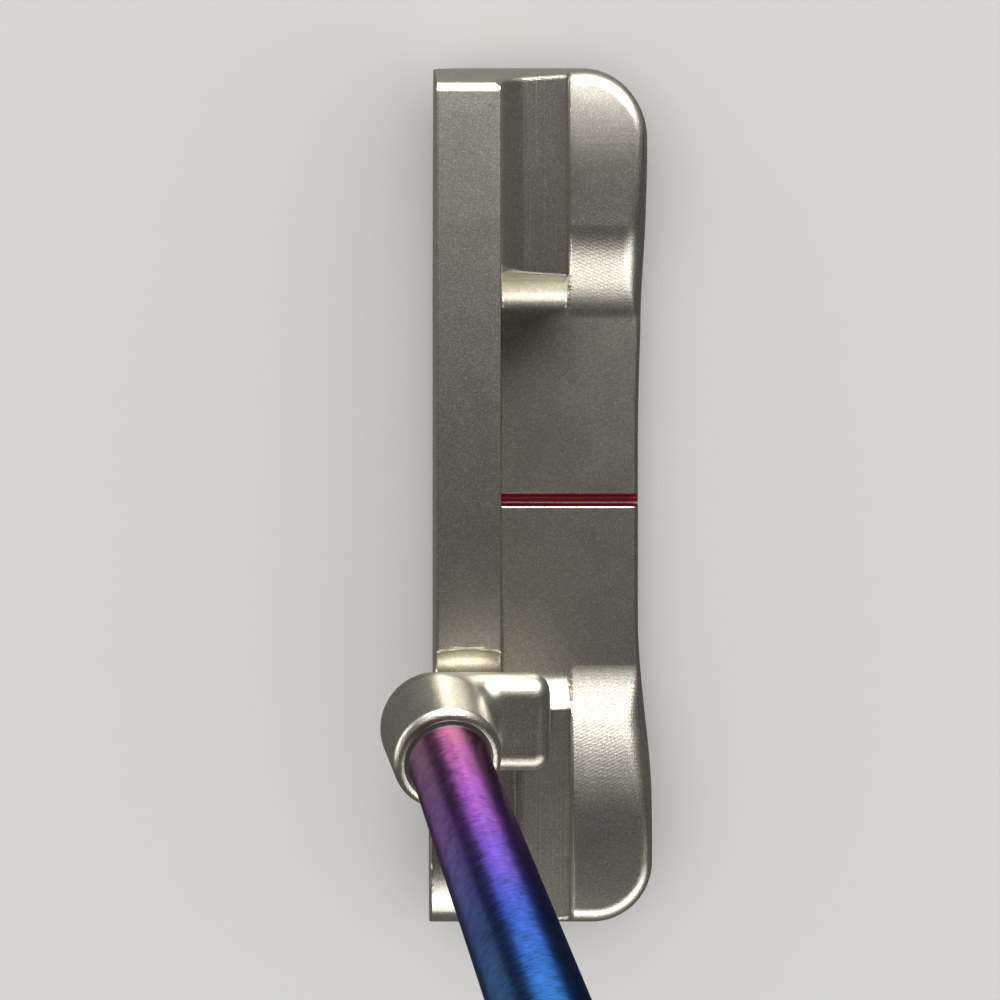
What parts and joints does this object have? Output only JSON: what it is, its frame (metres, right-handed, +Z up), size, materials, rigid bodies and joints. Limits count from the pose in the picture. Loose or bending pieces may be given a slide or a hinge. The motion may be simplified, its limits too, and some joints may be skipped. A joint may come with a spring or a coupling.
{
  "type": "putter",
  "caption": "Heel-toe weighted blade putter with a milled flange, red sight line, plumber's neck, tinted steel shaft, pistol grip and screw-in sole weights.",
  "frame": {"origin": "middle of the sole's flat, under the sight line, on the ground", "axes": "+X towards the heel, -Y towards the target (the face looks along -Y), +Z up; the shaft leans towards +X and +Y"},
  "size_m": [0.3546, 0.1658, 0.8122],
  "materials": {
    "satin_steel": "bead-blasted satin stainless steel with fine milling marks in the recesses",
    "tinted_steel": "heat-tinted steel, pink-purple at the hosel running to violet, blue and teal",
    "red_enamel": "glossy red enamel",
    "weight_steel": "turned satin steel",
    "epoxy": "dark cured epoxy",
    "black_rubber": "matt black rubber",
    "grip_skin": "textured black polyurethane skin with a stitched back seam",
    "foam": "matt closed-cell foam",
    "tape": "masking tape",
    "cork": "cork"
  },
  "bodies": {
    "club": {"head": "satin_steel", "sight_line_paint": "red_enamel", "hosel_epoxy": "epoxy", "shaft": "tinted_steel", "shaft_tip_plug": "cork", "grip_tape": "tape", "grip_underlisting": "foam", "grip_cover": "grip_skin", "grip_nose_ring": "black_rubber", "grip_butt_cap": "black_rubber"},
    "toe_washer": {"toe_weight_washer": "black_rubber"},
    "toe_weight": {"toe_sole_weight": "weight_steel"},
    "heel_washer": {"heel_weight_washer": "black_rubber"},
    "heel_weight": {"heel_sole_weight": "weight_steel"}
  },
  "joints": [
    {"name": "toe_weight_travel", "type": "slide", "parent": "club", "child": "toe_washer", "axis": [-0.1403, 0, -0.9901], "range_m": [0, 0.006]},
    {"name": "toe_weight_turn", "type": "hinge", "parent": "toe_washer", "child": "toe_weight", "pos_m": [-0.0435, -0.0013, 0.00152], "axis": [-0.1403, 0, -0.9901], "range_deg": [0, 2161]},
    {"name": "heel_weight_travel", "type": "slide", "parent": "club", "child": "heel_washer", "axis": [0.1403, 0, -0.9901], "range_m": [0, 0.006]},
    {"name": "heel_weight_turn", "type": "hinge", "parent": "heel_washer", "child": "heel_weight", "pos_m": [0.0435, -0.0013, 0.00152], "axis": [0.1403, 0, -0.9901], "range_deg": [0, 2161]}
  ],
  "couplings": [
    {"joint": "toe_weight_turn", "follows": "toe_weight_travel", "rad_per_m": 6283.2},
    {"joint": "heel_weight_turn", "follows": "heel_weight_travel", "rad_per_m": 6283.2}
  ]
}
